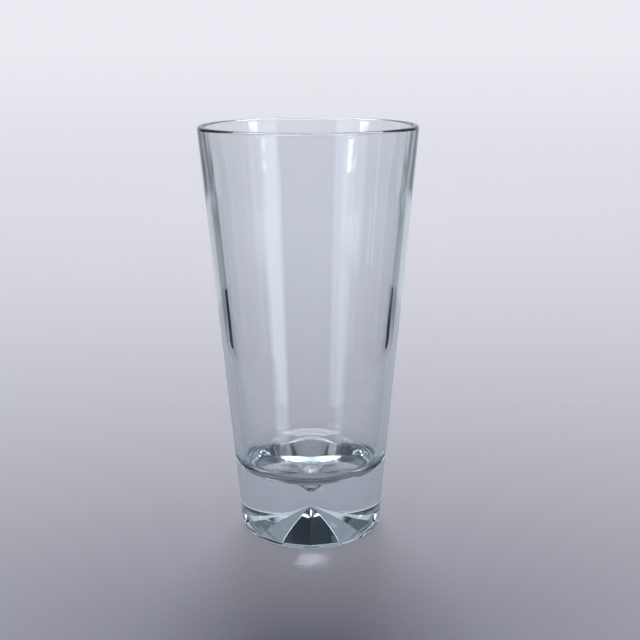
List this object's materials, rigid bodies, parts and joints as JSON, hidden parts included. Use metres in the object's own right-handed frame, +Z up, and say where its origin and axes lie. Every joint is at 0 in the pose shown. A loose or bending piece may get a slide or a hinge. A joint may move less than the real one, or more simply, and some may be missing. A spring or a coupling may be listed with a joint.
{
  "type": "mixing glass",
  "caption": "Tapered clear glass for stirring and shaking drinks, with a rounded lip, a thick foot and a faceted hollow underneath.",
  "frame": {"origin": "centre of the foot, on the table", "axes": "+Z up along the axis of the glass, from the foot to the mouth; +X and +Y pass through corners of the faceted hollow"},
  "size_m": [0.0888, 0.0888, 0.1735],
  "materials": {
    "clear_glass": "polished clear soda-lime glass"
  },
  "bodies": {
    "root": {"glass_body": "clear_glass"}
  },
  "joints": []
}
